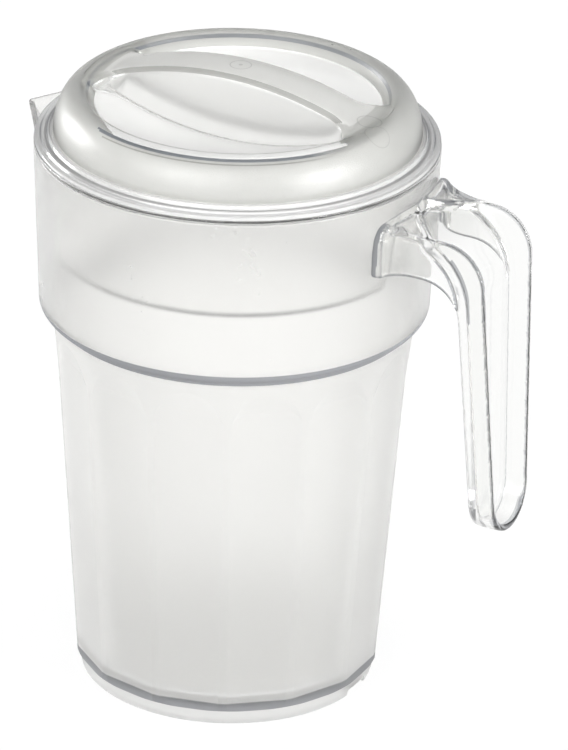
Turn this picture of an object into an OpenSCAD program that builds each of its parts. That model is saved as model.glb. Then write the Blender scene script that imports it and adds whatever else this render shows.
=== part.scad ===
// Covered serving pitcher in clear plastic: a panelled vessel with a hook handle,
// and a plug lid that turns in the mouth and lifts off.
// Millimetres, Z up, origin on the table under the middle of the foot.
// The handle points along +X and the spout along -X.

/* [Vessel] */
// Outer radius of the collar at the rim
rim_r = 67; // [60:0.5:75]
// Height of the rim above the table
vessel_h = 190; // [178:1:210]
// Wall of the vessel
wall = 2.8; // [2.2:0.1:3.4]
// Floor of the vessel
floor_t = 3; // [2.4:0.1:4]
// Height of the collar band
collar_h = 60; // [54:1:66]
// Narrowing of the collar from the rim to its lower edge
collar_taper = 2.2; // [1:0.1:3]
// Radius of the collar's rounded lower edge
collar_round = 3.5; // [2:0.1:4]
// Step in from the collar to the body
body_step = 4.8; // [4.2:0.1:6]
// Narrowing of the body from the collar to the base
body_taper = 8.8; // [5:0.1:11]
// Radius of the edge between body and base
base_round = 1.6; // [0.8:0.1:2.4]
// Radius of the corner inside, between wall and floor
inside_round = 5; // [3:0.1:7]

/* [Foot] */
// Height of the foot ring under the body
foot_h = 6; // [4:0.1:9]
// Step in from the base to the foot ring
foot_step = 3.2; // [2:0.1:5]
// Thickness of the foot ring
foot_t = 3; // [2:0.1:4]
// Widening of the foot ring from the table up to the base
foot_draft = 1.9; // [0.4:0.1:2]
// Width of the drain notch under the handle
notch_w = 13; // [8:0.5:18]
// Height of the drain notch
notch_h = 2.4; // [1:0.1:3.5]

/* [Panels] */
// Number of flat panels round the body
panel_count = 14; // [10:1:18]
// Width of the round land left between two panels
panel_land = 2.4; // [1.5:0.1:4]
// Distance from the collar down to the panel tops
panel_top_gap = 9; // [6:0.5:16]
// Radius of the rounded panel tops
panel_round = 7; // [3:0.5:8]

/* [Spout] */
// Reach of the spout tip beyond the rim
spout_reach = 10.8; // [6:0.1:14]
// Height of the spout from its root to the rim
spout_h = 20; // [14:0.5:28]
// Radius of the spout tip
spout_tip_r = 2.2; // [1.5:0.1:3]
// Wall of the spout
spout_wall = 2; // [1.5:0.1:2.4]

/* [Handle] */
// Depth of the handle's top plate below the rim
arm_drop = 10; // [7:0.5:14]
// Height of the arm's side walls
arm_h = 15; // [13:0.1:17]
// Wall of the handle
handle_wall = 2.4; // [2:0.1:2.8]
// Half of the arm's width
arm_half_w = 19; // [17:0.1:21]
// Flare of the arm's side walls where they meet the collar
arm_flare = 5; // [2:0.1:6]
// Length over which each side of the arm spreads out
flare_run = 8.2; // [6:0.1:8.4]
// Radius of the arm's upper corners where they meet the collar
root_round = 4; // [2:0.1:6]
// Reach of the grip's outer edges from the rim, at the bend
grip_reach = 32.5; // [30:0.5:38]
// Depth of the grip from its outer edges to its back
grip_depth = 9.4; // [8:0.1:11]
// Outward lean of the grip over its length
grip_lean = 4.5; // [0:0.1:7]
// Length of the grip from the top plate to its lower end
grip_l = 106; // [94:1:112]
// Half of the grip's width at its lower end
grip_end_half_w = 13.6; // [11:0.1:16]
// Outer radius of the bend
bend_r = 15; // [12:0.5:17]
// Radius of the finger side of the bend
finger_bend_r = 13; // [8:0.5:14]
// Half of the angle at which the trough opens on the arm
trough_half_angle = 50; // [40:1:58]
// Distance from the rim out to the trough's pointed end
trough_start = 1; // [0.5:0.1:4]
// Radius of the trough's pointed end
trough_tip_r = 4.5; // [3:0.1:6]
// Gap of the weld line between handle and collar
weld_gap = 0.1; // [0.05:0.05:0.3]

/* [Lid] */
// Thickness of the loose ring between rim and lid
ring_t = 1.2; // [0.8:0.1:2]
// Gap between flat faces that rest on each other
seat_gap = 0.1; // [0.05:0.05:0.3]
// Gap between the lid's skirt and the collar at the rim
skirt_gap = 0.6; // [0.4:0.1:1.2]
// Gap between the loose ring and the skirt
ring_gap = 0.3; // [0.3:0.1:0.6]
// Wall of the lid
lid_wall = 2.4; // [1.8:0.1:2.6]
// Thickness of the flange's edge
flange_t = 1.2; // [0.8:0.1:2]
// Gap from the flange's edge in to the edge of the rim
flange_inset = 0.2; // [0:0.1:0.6]
// Width of the flange outside the ridges
flange_land = 2; // [1.4:0.1:3]
// Width of each of the two ridges on the flange
ridge_w = 2.2; // [1.5:0.1:2.5]
// Height of each ridge
ridge_h = 1; // [0.6:0.1:1.6]
// Height of the rounded shoulder above the ridges
shoulder_h = 13.7; // [11:0.1:15]
// Width of the rounded shoulder
shoulder_w = 8.6; // [7:0.1:10]
// Width of the crest's inner side, from its top to the bowl's rim
crest_w = 2.4; // [1.8:0.1:4]
// Fall of the crest from its top to the bowl's rim
crest_fall = 1.6; // [0.8:0.1:2]
// Width of the steep lip inside the bowl's rim
lip_w = 2.4; // [1.6:0.1:3.5]
// Height of the steep lip
lip_h = 2.4; // [1.4:0.1:3]
// Depth of the bowl below the shoulder's top
bowl_d = 14; // [10:0.1:14.4]

/* [Grip bar] */
// Rise of the bar's middle above the shoulder's top
bar_rise = 9.1; // [7:0.1:12]
// Radius of the bar's arch
bar_arch_r = 120; // [100:1:150]
// Half of the bar's width on top
bar_half_w = 8.6; // [7:0.1:10]
// Spread of each side of the bar from its top to the bowl
bar_draft = 1.4; // [0.5:0.1:3]
// Radius of the bar's long upper edges
bar_round = 2.4; // [1:0.1:3.5]
// Radius of the wells' corners, where the bar spreads out into the shoulder
well_round = 9; // [6:0.5:11]

/* [Skirt] */
// Height of the skirt below the rim
skirt_h = 36; // [28:0.5:44]
// Narrowing of the skirt towards its lower edge
skirt_draft = 5; // [3:0.1:6]
// Wall of the skirt
skirt_t = 2; // [1.6:0.1:2.4]
// Height of the band left above the window and the slots
skirt_band = 8; // [6:0.5:14]
// Width of the pour window
window_w = 17; // [12:0.5:26]
// Radius of the window's corners
window_round = 3.5; // [2:0.1:4.5]
// Number of strainer slots
slot_count = 7; // [3:2:9]
// Width of a strainer slot
slot_w = 3; // [2:0.1:3.5]
// Distance between the middles of two slots
slot_pitch = 6; // [5:0.1:7]

/* [Hidden] */
$fn = 96;
arc_steps = 12;
past = 1;
panel_run_out = 0.3;
hazy = [0.92, 0.92, 0.90, 0.7];
clear = [0.88, 0.91, 0.92, 0.5];

collar_z = vessel_h - collar_h;
collar_r = rim_r - collar_taper;
body_r = collar_r - body_step;
base_r = body_r - body_taper;
foot_r = base_r - foot_step;
floor_z = foot_h + floor_t;
panel_foot_z = foot_h - past;
panel_top_z = collar_z - panel_top_gap;
spout_z = vessel_h - spout_h;

arm_z = vessel_h - arm_drop;
arm_low_z = arm_z - arm_h;
grip_end_z = arm_z - grip_l;
bend_x = rim_r + grip_reach;
back_x = bend_x - grip_depth;
bend_z = arm_z - bend_r;
trough_x = rim_r + trough_start;
web_r = back_x + handle_wall - trough_x;
web_z = arm_z - web_r;
trough_half_w = arm_half_w - handle_wall;

skirt_r = rim_r - wall - skirt_gap;
flange_z = vessel_h + ring_t + 2 * seat_gap;
ridge_z = flange_z + flange_t;
shoulder_z = ridge_z + 2 * ridge_h;
flange_r = rim_r - flange_inset;
ridge_r = rim_r - flange_land;
ridge_slope = ridge_h / 2;
shoulder_r = ridge_r - 2 * ridge_w;
crest_r = shoulder_r - shoulder_w;
crest_z = shoulder_z + shoulder_h;
bowl_rim_r = crest_r - crest_w;
bowl_rim_z = crest_z - crest_fall;
bowl_r = bowl_rim_r - lip_w;
bowl_z = crest_z - bowl_d;
bowl_rise = bowl_d - crest_fall - lip_h;
bowl_sphere_r = (bowl_r * bowl_r + bowl_rise * bowl_rise) / (2 * bowl_rise);
bar_top_z = crest_z + bar_rise;
bar_axis_z = bar_top_z - bar_arch_r;
well_corner_y = bar_half_w + well_round;
well_corner_x = sqrt(pow(bowl_rim_r - well_round, 2) - pow(well_corner_y, 2));
skirt_low_z = vessel_h - skirt_h;
skirt_band_z = vessel_h - skirt_band;

// Radius of the body's and of the collar's outer face at a height
function body_at(z) = base_r + body_taper * (z - foot_h) / (collar_z - foot_h);
function collar_at(z) = collar_r + collar_taper * (z - collar_z) / collar_h;

// Points of an arc, or of a quarter of an ellipse, from one angle to another
function arc(x, y, r, from, to) = ellipse(x, y, r, r, from, to);
function ellipse(x, y, rx, ry, from, to) =
    [for (i = [0:arc_steps]) let (a = from + (to - from) * i / arc_steps) [x + rx * cos(a), y + ry * sin(a)]];

// Angle at which an arc round a height runs straight on into the leaning grip
function lean_below(z) = atan(grip_lean / (z - grip_end_z));

// Turns a drawing of X and Z into a slab of a given half width across Y
module across(half_w) {
    rotate([90, 0, 0])
        linear_extrude(2 * half_w, center = true)
            children();
}

// Turns a drawing of Y and Z into a bar along X
module along(from, to) {
    translate([from, 0, 0])
        rotate([90, 0, 90])
            linear_extrude(to - from)
                children();
}

// The vessel's outer form, solid, with the collar's rounded lower edge
module vessel_outside() {
    rotate_extrude()
        polygon(concat(
            [[0, foot_h]],
            arc(base_r - base_round, foot_h + base_round, base_round, -90, 0),
            [[body_r, collar_z]],
            arc(collar_r - collar_round, collar_z + collar_round, collar_round, -90, 0),
            [[rim_r, vessel_h], [0, vessel_h]]));
}

// The hollow inside, which follows the collar and the body at the wall's distance
module vessel_inside() {
    low_r = body_at(floor_z) - wall;
    rotate_extrude()
        polygon(concat(
            [[0, floor_z]],
            arc(low_r - inside_round, floor_z + inside_round, inside_round, -90, 0),
            [
                [body_r - wall, collar_z + wall],
                [collar_at(collar_z + 2 * wall) - wall, collar_z + 2 * wall],
                [rim_r - wall, vessel_h],
                [rim_r - wall, vessel_h + past],
                [0, vessel_h + past]
            ]));
}

// One flat panel, cut just so deep that it runs out at the lands on its sides
module panel_cut() {
    foot_half = PI * body_at(panel_foot_z) / panel_count - panel_land / 2;
    top_half = PI * body_at(panel_top_z) / panel_count - panel_land / 2;
    foot_d = sqrt(pow(body_at(panel_foot_z), 2) - pow(foot_half, 2));
    top_d = sqrt(pow(body_at(panel_top_z), 2) - pow(top_half, 2));
    run = panel_top_z - panel_foot_z;
    low = foot_half + panel_run_out;
    half = top_half + panel_run_out;
    translate([foot_d, 0, panel_foot_z])
        rotate([0, atan((top_d - foot_d) / run), 0])
            along(0, wall)
                union() {
                    polygon([[-low, 0], [low, 0], [half, run - panel_round], [-half, run - panel_round]]);
                    translate([-half + panel_round, run / 2])
                        square([2 * (half - panel_round), run / 2]);
                    for (side = [-1, 1])
                        translate([side * (half - panel_round), run - panel_round])
                            circle(panel_round);
                }
}

// The pouring lip: a keel that rises from the collar to the tip, with a flank on each side
module spout_form(inset, top) {
    root_r = wall / 2 + inset;
    spread = acos(rim_r / (rim_r + spout_reach));
    hull() {
        translate([spout_tip_r + inset - rim_r - spout_reach, 0, vessel_h - past])
            cylinder(r = spout_tip_r, h = past + top, $fn = 32);
        for (side = [-1, 1])
            rotate(180 + side * spread)
                translate([rim_r - root_r - spout_tip_r, 0, vessel_h - past])
                    cylinder(r = spout_tip_r, h = past + top, $fn = 32);
        translate([root_r + spout_tip_r - collar_at(spout_z), 0, spout_z])
            cylinder(r = spout_tip_r, h = past, $fn = 32);
    }
}

module foot_ring() {
    difference() {
        union() {
            cylinder(r1 = foot_r, r2 = foot_r + foot_draft, h = foot_h);
            cylinder(r = foot_r, h = floor_z);
        }
        translate([0, 0, -past])
            cylinder(r = foot_r - foot_t, h = foot_h + past);
        translate([0, -notch_w / 2, -past])
            cube([2 * foot_r, notch_w, notch_h + past]);
    }
}

module vessel() {
    color(hazy)
        difference() {
            union() {
                vessel_outside();
                foot_ring();
                spout_form(0, 0);
            }
            vessel_inside();
            spout_form(spout_wall, past);
            for (i = [0:panel_count - 1])
                rotate(i * 360 / panel_count)
                    panel_cut();
        }
}

// Side view of the hook: arm, bend and grip
module hook_side() {
    finger_z = arm_low_z - finger_bend_r;
    polygon(concat(
        [[0, arm_low_z], [0, arm_z]],
        arc(bend_x - bend_r, bend_z, bend_r, 90, lean_below(bend_z)),
        [[bend_x + grip_lean, grip_end_z], [back_x + grip_lean, grip_end_z]],
        arc(back_x - finger_bend_r, finger_z, finger_bend_r, lean_below(finger_z), 90)));
}

// Half width of the grip with its rounded lower end, seen from outside
module grip_front(inset) {
    end_r = grip_end_half_w - inset;
    end_z = grip_end_z + grip_end_half_w;
    top_half = arm_half_w - inset;
    translate([0, end_z])
        circle(end_r);
    polygon([
        [-end_r, end_z], [end_r, end_z],
        [top_half, arm_low_z], [top_half, arm_z + past],
        [-top_half, arm_z + past], [-top_half, arm_low_z]
    ]);
}

// Plan of the arm, or of the hollow in it, whose sides sweep out in a hollow curve to the collar
module arm_plan(inset) {
    sweep_x = rim_r + arm_flare;
    half = arm_half_w + arm_flare;
    run = flare_run + inset;
    spread = arm_flare + inset;
    polygon(concat(
        [[0, -half]],
        ellipse(sweep_x, -half, run, spread, 180, 90),
        [[bend_x, spread - half], [bend_x, half - spread]],
        ellipse(sweep_x, half, run, spread, 270, 180),
        [[0, half]]));
}

// Front of the arm, with rounded upper corners beside the collar
module arm_front() {
    half = arm_half_w + arm_flare;
    low = arm_low_z - finger_bend_r;
    translate([-half, low])
        square([2 * half, arm_z - root_round - low]);
    translate([root_round - half, low])
        square([2 * (half - root_round), arm_z - low]);
    for (side = [-1, 1])
        translate([side * (half - root_round), arm_z - root_round])
            circle(root_round);
}

// Plan of the trough: a pointed end on the arm that opens to the grip's width
module trough_plan(grow) {
    r = trough_tip_r + grow;
    half = trough_half_w + grow;
    tip_x = trough_x + trough_tip_r;
    side_x = tip_x - r * sin(trough_half_angle);
    side_y = r * cos(trough_half_angle);
    open_x = side_x + (half - side_y) / tan(trough_half_angle);
    translate([tip_x, 0])
        circle(r);
    polygon([
        [side_x, -side_y], [open_x, -half], [2 * bend_x, -half],
        [2 * bend_x, half], [open_x, half], [side_x, side_y]
    ]);
}

// The space outside the web, which sweeps down from the top plate into the grip
module outside_web(r) {
    reach = 2 * bend_x;
    across(rim_r)
        polygon(concat(
            [[trough_x, arm_z + past]],
            arc(trough_x, web_z, r, 90, lean_below(web_z)),
            [
                [trough_x + r + grip_lean, grip_end_z], [reach, grip_end_z],
                [reach, arm_z + past]
            ]));
}

// The trough of the grip, open outwards, with its wall at the lower end
module trough_cut() {
    intersection() {
        outside_web(web_r);
        translate([0, 0, grip_end_z])
            linear_extrude(grip_l + past)
                trough_plan(0);
        along(0, 2 * bend_x)
            grip_front(handle_wall);
    }
}

// The hollow under the top plate, on both sides of the trough
module bracket_hollow() {
    inner_bend = bend_r - handle_wall;
    difference() {
        intersection() {
            across(rim_r)
                polygon(concat(
                    [[0, web_z], [0, arm_z - handle_wall]],
                    arc(bend_x - bend_r, bend_z, inner_bend, 90, 0),
                    [[bend_x - handle_wall, web_z]]));
            translate([0, 0, web_z - past])
                linear_extrude(web_r + past)
                    arm_plan(handle_wall);
        }
        intersection() {
            outside_web(web_r - handle_wall);
            translate([0, 0, grip_end_z])
                linear_extrude(grip_l + past)
                    trough_plan(handle_wall);
        }
    }
}

module handle() {
    color(clear)
        difference() {
            intersection() {
                across(2 * arm_half_w)
                    hook_side();
                union() {
                    intersection() {
                        translate([0, 0, arm_low_z - finger_bend_r])
                            linear_extrude(arm_h + finger_bend_r + past)
                                arm_plan(0);
                        along(0, bend_x + past)
                            arm_front();
                    }
                    along(back_x - finger_bend_r, 2 * bend_x)
                        grip_front(0);
                }
            }
            trough_cut();
            bracket_hollow();
            translate([0, 0, collar_z])
                cylinder(r1 = collar_r + weld_gap, r2 = rim_r + weld_gap, h = collar_h);
        }
}

module rim_ring() {
    color(clear)
        translate([0, 0, vessel_h + seat_gap])
            difference() {
                cylinder(r = rim_r, h = ring_t);
                translate([0, 0, -past])
                    cylinder(r = skirt_r + ring_gap, h = ring_t + 2 * past);
            }
}

// Half section of the lid's outside: flange, two ridges, shoulder, lip and bowl
function cap_top() = concat(
    [[0, flange_z], [flange_r, flange_z], [flange_r, ridge_z]],
    [[ridge_r, ridge_z], [ridge_r - ridge_slope, ridge_z + ridge_h]],
    [[ridge_r - ridge_w, ridge_z + ridge_h], [ridge_r - ridge_w - ridge_slope, shoulder_z]],
    ellipse(crest_r, shoulder_z, shoulder_w, shoulder_h, 0, 90),
    ellipse(crest_r, bowl_rim_z, crest_w, crest_fall, 100, 180),
    bowl_points(bowl_r, bowl_z));

// Points of the bowl from its edge to the middle
function bowl_points(r, z) =
    [for (i = [arc_steps:-1:0]) let (x = r * i / arc_steps)
        [x, z + bowl_sphere_r - sqrt(pow(bowl_sphere_r, 2) - x * x)]];

// Half section of the space under the lid, at the lid wall's distance
function cap_under() = concat(
    [[0, flange_z - past], [skirt_r - skirt_t, flange_z - past]],
    [[skirt_r - skirt_t, ridge_z - ridge_slope], [shoulder_r - lid_wall, shoulder_z - lid_wall]],
    ellipse(crest_r, shoulder_z, shoulder_w - lid_wall, shoulder_h - lid_wall, 0, 90),
    [[bowl_rim_r, bowl_rim_z - lid_wall]],
    bowl_points(bowl_r, bowl_z - lid_wall));

// An arched bar along X, round on its long edges, as a turn about a level axis
module arched_bar(top_r, half_w, round_r) {
    low_r = bowl_z - bar_axis_z - 2 * lid_wall;
    translate([0, 0, bar_axis_z])
        rotate([90, 0, 0])
            rotate_extrude()
                union() {
                    polygon([
                        [low_r, -half_w - bar_draft],
                        [top_r - round_r, -half_w],
                        [top_r - round_r, half_w],
                        [low_r, half_w + bar_draft]
                    ]);
                    translate([top_r - 2 * round_r, round_r - half_w])
                        square([2 * round_r, 2 * (half_w - round_r)]);
                    for (side = [-1, 1])
                        translate([top_r - round_r, side * (half_w - round_r)])
                            circle(round_r);
                }
}

// Plan of the fill in one corner of a well, hollow towards the well
module well_corner_plan() {
    turn = atan2(well_corner_y, well_corner_x);
    difference() {
        polygon([
            [well_corner_x, well_corner_y],
            [well_corner_x, bar_half_w - bar_round],
            [crest_r, bar_half_w - bar_round],
            [crest_r * cos(turn), crest_r * sin(turn)]
        ]);
        translate([well_corner_x, well_corner_y])
            circle(well_round);
    }
}

// The four fills that round off the wells, under a dome at the height of the bar
module well_corners() {
    intersection() {
        translate([0, 0, flange_z])
            linear_extrude(bar_top_z - flange_z)
                for (end = [0, 1], side = [0, 1])
                    mirror([end, 0])
                        mirror([0, side])
                            well_corner_plan();
        translate([0, 0, bar_axis_z])
            sphere(bar_arch_r);
    }
}

module lid_cap() {
    color(clear)
        difference() {
            union() {
                rotate_extrude()
                    polygon(cap_top());
                intersection() {
                    arched_bar(bar_arch_r, bar_half_w, bar_round);
                    translate([0, 0, flange_z])
                        cylinder(r = crest_r, h = bar_top_z - flange_z);
                }
                well_corners();
            }
            rotate_extrude()
                polygon(cap_under());
            intersection() {
                arched_bar(bar_arch_r - lid_wall, bar_half_w - lid_wall, bar_round / 2);
                translate([0, 0, flange_z - past])
                    cylinder(r = bowl_r - lid_wall, h = bar_top_z - flange_z);
            }
        }
}

// Outline of the pour window, open below, with the skirt's corners rounded beside it
module window_front() {
    half = window_w / 2;
    low = skirt_low_z - past;
    translate([-half, low])
        square([window_w, skirt_band_z - window_round - low]);
    translate([window_round - half, low])
        square([window_w - 2 * window_round, skirt_band_z - low]);
    for (side = [-1, 1]) {
        translate([side * (half - window_round), skirt_band_z - window_round])
            circle(window_round);
        difference() {
            translate([side * (half + window_round / 2) - window_round / 2, low])
                square([window_round, window_round + past]);
            translate([side * (half + window_round), skirt_low_z + window_round])
                circle(window_round);
        }
    }
}

// Outline of one strainer slot, open below, with a round top
module slot_front() {
    low = skirt_low_z - past;
    translate([-slot_w / 2, low])
        square([slot_w, skirt_band_z - slot_w / 2 - low]);
    translate([0, skirt_band_z - slot_w / 2])
        circle(slot_w / 2);
}

module lid_skirt() {
    low_r = skirt_r - skirt_draft;
    color(clear)
        difference() {
            rotate_extrude()
                polygon([
                    [low_r - skirt_t, skirt_low_z], [low_r, skirt_low_z],
                    [skirt_r, vessel_h], [skirt_r, flange_z],
                    [skirt_r - skirt_t, flange_z], [skirt_r - skirt_t, vessel_h]
                ]);
            along(0, rim_r)
                window_front();
            for (i = [0:slot_count - 1])
                rotate(180 + (i - (slot_count - 1) / 2) * slot_pitch * 180 / (PI * low_r))
                    along(0, rim_r)
                        slot_front();
        }
}

vessel();
handle();
rim_ring();
lid_cap();
lid_skirt();
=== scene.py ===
import math

import bmesh
import bpy
from mathutils import Matrix, Vector


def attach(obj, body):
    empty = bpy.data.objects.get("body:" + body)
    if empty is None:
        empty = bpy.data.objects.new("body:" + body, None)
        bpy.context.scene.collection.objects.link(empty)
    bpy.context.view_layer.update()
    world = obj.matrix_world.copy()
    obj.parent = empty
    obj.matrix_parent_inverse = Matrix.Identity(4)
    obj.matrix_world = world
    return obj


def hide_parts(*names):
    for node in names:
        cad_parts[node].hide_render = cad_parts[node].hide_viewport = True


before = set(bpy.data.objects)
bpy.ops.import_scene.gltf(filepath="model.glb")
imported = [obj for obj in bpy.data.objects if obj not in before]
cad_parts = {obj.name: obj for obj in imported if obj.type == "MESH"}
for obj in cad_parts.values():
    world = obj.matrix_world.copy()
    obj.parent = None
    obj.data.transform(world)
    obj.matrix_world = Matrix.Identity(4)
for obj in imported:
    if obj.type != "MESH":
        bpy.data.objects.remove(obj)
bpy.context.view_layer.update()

MM = 0.001

# Sizes of the pitcher in millimetres. Lifts, drops, droops, rises and blends are fine forms drawn only here.
RIM_R, VESSEL_H, WALL, FLOOR_T = 67.0, 190.0, 2.8, 3.0
COLLAR_Z, COLLAR_R, COLLAR_ROUND, COLLAR_LIFT, COLLAR_IN_R = 130.0, 64.8, 3.5, 1.8, 62.2
BODY_R, BASE_R, BASE_ROUND, BASE_DROP = 60.0, 51.2, 1.6, 0.9
FOOT_H, FOOT_R, FOOT_FULL, FOOT_T = 6.0, 48.0, 1.3, 3.0
FLOOR_Z, FLOOR_ROUND = FOOT_H + FLOOR_T, 5.0
NOTCH_HALF_W, NOTCH_H, NOTCH_ROUND = 6.2, 2.4, 0.8
PANELS, PANEL_LAND, PANEL_TOP_Z, PANEL_ROUND = 14, 2.4, 121.0, 7.0
SPOUT_REACH, SPOUT_Z, SPOUT_TIP_R, SPOUT_WALL, SPOUT_DROOP = 10.8, 170.0, 2.2, 2.0, 1.6

ARM_Z, ARM_LOW_Z, ARM_HALF_W, ARM_FLARE, ROOT_ROUND = 180.0, 165.0, 19.0, 6.0, 4.0
HANDLE_WALL, BEND_X, BACK_X, BEND_R, FINGER_R = 2.4, 99.5, 90.1, 15.0, 13.0
GRIP_LEAN, GRIP_END_Z, GRIP_END_HALF_W = 4.5, 74.0, 13.6
TROUGH_X, TROUGH_TIP_R, TROUGH_ANGLE = 68.0, 4.5, 50.0
WEB_R = BACK_X + HANDLE_WALL - TROUGH_X
WEB_Z = ARM_Z - WEB_R
WELD_GAP, FLARE_RUN, HOLLOW_LOW_Z, HANDLE_ROUND = 0.1, 8.2, 147.5, 0.8
ROOT_HALF_W, ROOT_X = ARM_HALF_W + ARM_FLARE, RIM_R + 7
ROOT_RISE, RISE_RUN, RISE_DEPTH, CROWN_HALF_W = 5.5, 18.0, 4.0, 34.0
CLEAR_X, CLEAR_Z = 160.0, ARM_Z + 8  # past the handle

RING_LOW, RING_HIGH, SKIRT_R = 190.1, 191.3, 63.6
FLANGE_Z, FLANGE_R, RIDGE_Z, RIDGE_R, RIDGE_W, RIDGE_H = 191.4, 66.8, 192.6, 65.0, 2.2, 1.0
SHOULDER_Z, SHOULDER_R, CREST_R, CREST_Z = 194.6, 60.6, 52.0, 208.3
CREST_W, CREST_FALL, LIP_W, LIP_H, BOWL_Z, LID_WALL = 2.4, 1.6, 2.4, 2.4, 194.3, 2.4
BAR_TOP_Z, BAR_ARCH_R, BAR_HALF_W, BAR_DRAFT, BAR_ROUND = 217.4, 120.0, 8.6, 1.4, 2.4
WELL_ROUND, BLEND_R, BAR_REACH = 9.0, 36.0, 46.0
SKIRT_LOW_Z, SKIRT_DRAFT, SKIRT_T, SKIRT_BAND_Z = 154.0, 5.0, 2.0, 182.0
WINDOW_W, WINDOW_ROUND, SLOTS, SLOT_W, SLOT_PITCH = 17.0, 3.5, 7, 3.0, 6.0
LIP_SIDE_Y, LIP_START_X, LIP_TAPER = 21.0, -33.0, 14.0
ROUND_STEPS, CORNER_STEPS = 240, 16


# Drawing: points of arcs and corners, in millimetres.
def ellipse(x, y, rx, ry, start, end, steps=16):
    turn = [math.radians(start + (end - start) * i / steps) for i in range(steps + 1)]
    return [(x + rx * math.cos(a), y + ry * math.sin(a)) for a in turn]


def arc(x, y, r, start, end, steps=16):
    return ellipse(x, y, r, r, start, end, steps)


def rounded(corners, steps=8):
    """A closed outline of (x, y, radius) corners, each corner turned into an arc."""
    points = []
    for i, (x, y, r) in enumerate(corners):
        here = Vector((x, y))
        if r == 0:
            points.append((x, y))
            continue
        before = (Vector(corners[i - 1][:2]) - here).normalized()
        after = (Vector(corners[(i + 1) % len(corners)][:2]) - here).normalized()
        half = before.angle(after) / 2
        middle = here + (before + after).normalized() * (r / math.sin(half))
        first, last = here + before * (r / math.tan(half)), here + after * (r / math.tan(half))
        start, end = first - middle, last - middle
        sweep = start.angle_signed(end)
        for k in range(steps + 1):
            spoke = start.copy()
            spoke.rotate(Matrix.Rotation(-sweep * k / steps, 2))
            points.append(tuple(middle + spoke))
    return points


# Modelling helpers.
def start_fresh():
    if bpy.context.mode != "OBJECT":
        bpy.ops.object.mode_set(mode="OBJECT")
    bpy.ops.object.select_all(action="DESELECT")


def take(piece):
    start_fresh()
    piece.select_set(True)
    bpy.context.view_layer.objects.active = piece


def wire(name, places, closed=True):
    """A loop or an open line of edges through the places, left in edit mode and selected."""
    start_fresh()
    bpy.ops.mesh.primitive_circle_add(vertices=len(places), radius=MM)
    piece = bpy.context.object
    piece.name = name
    bpy.ops.object.mode_set(mode="EDIT")
    bpy.ops.mesh.select_all(action="DESELECT")
    mesh = bmesh.from_edit_mesh(piece.data)
    mesh.verts.ensure_lookup_table()
    for corner, place in zip(mesh.verts, places):
        corner.co = Vector(place) * MM
    if not closed:
        ends = {mesh.verts[0], mesh.verts[-1]}
        for edge in mesh.edges:
            edge.select = set(edge.verts) == ends
        bmesh.update_edit_mesh(piece.data)
        bpy.ops.mesh.delete(type="EDGE")
    bpy.ops.mesh.select_all(action="SELECT")
    return piece


def close_up():
    bpy.ops.mesh.select_all(action="SELECT")
    bpy.ops.mesh.remove_doubles(threshold=0.002 * MM)
    bpy.ops.mesh.dissolve_degenerate(threshold=0.001 * MM)
    bpy.ops.mesh.select_all(action="SELECT")
    bpy.ops.mesh.normals_make_consistent(inside=False)
    bpy.ops.object.mode_set(mode="OBJECT")


def lathe(name, profile, steps, closed=False):
    """Spins a profile of (radius, height) round the pitcher's axis."""
    piece = wire(name, [(r, 0, z) for r, z in profile], closed)
    bpy.ops.mesh.spin(steps=steps, angle=math.tau, center=(0, 0, 0), axis=(0, 0, 1))
    close_up()
    return piece


def slab(name, places, reach):
    """Fills a closed outline of places and pulls it out along reach."""
    piece = wire(name, places)
    bpy.ops.mesh.edge_face_add()
    bpy.ops.mesh.extrude_region_move(TRANSFORM_OT_translate={"value": Vector(reach) * MM})
    close_up()
    return piece


def across(name, side, half_w):
    """A slab of an outline of X and Z, spread to both sides."""
    return slab(name, [(x, -half_w, z) for x, z in side], (0, 2 * half_w, 0))


def along(name, front, low_x, high_x):
    """A slab of an outline of Y and Z, pulled out along X."""
    return slab(name, [(low_x, y, z) for y, z in front], (high_x - low_x, 0, 0))


def upright(name, plan, low_z, high_z):
    """A slab of an outline of X and Y, pulled up."""
    return slab(name, [(x, y, low_z) for x, y in plan], (0, 0, high_z - low_z))


def use(piece, kind, **values):
    take(piece)
    bpy.ops.object.modifier_add(type=kind)
    modifier = piece.modifiers[-1]
    for key, value in values.items():
        setattr(modifier, key, value)
    bpy.ops.object.modifier_apply(modifier=modifier.name)


def combine(piece, tool, operation):
    """Joins, cuts or keeps what is common, and takes the tool away."""
    use(piece, "BOOLEAN", object=tool, operation=operation, solver="EXACT")
    bpy.data.objects.remove(tool)
    return piece


def hull_of(name, rods):
    """The skin over a few upright rods of (x, y, low, high, radius)."""
    start_fresh()
    made = []
    for x, y, low, high, r in rods:
        middle = (x * MM, y * MM, (low + high) / 2 * MM)
        bpy.ops.mesh.primitive_cylinder_add(vertices=48, radius=r * MM, depth=(high - low) * MM, location=middle)
        made.append(bpy.context.object)
    start_fresh()
    for rod in made:
        rod.select_set(True)
    bpy.context.view_layer.objects.active = made[0]
    bpy.ops.object.join()
    piece = bpy.context.object
    piece.name = name
    bpy.ops.object.transform_apply(location=True, rotation=True, scale=True)
    bpy.ops.object.mode_set(mode="EDIT")
    bpy.ops.mesh.select_all(action="SELECT")
    bpy.ops.mesh.convex_hull()
    close_up()
    return piece


def turned_copies(piece, angles):
    """Copies of a piece turned round the pitcher's axis, joined to it."""
    copies = []
    for angle in angles:
        copy = piece.copy()
        copy.data = piece.data.copy()
        copy.data.transform(Matrix.Rotation(angle, 4, "Z"))
        bpy.context.collection.objects.link(copy)
        copies.append(copy)
    bpy.data.objects.remove(piece)
    start_fresh()
    for copy in copies:
        copy.select_set(True)
    bpy.context.view_layer.objects.active = copies[0]
    bpy.ops.object.join()
    return bpy.context.object


def soft_shade(piece, degrees):
    take(piece)
    bpy.ops.object.shade_smooth_by_angle(angle=math.radians(degrees))


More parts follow.
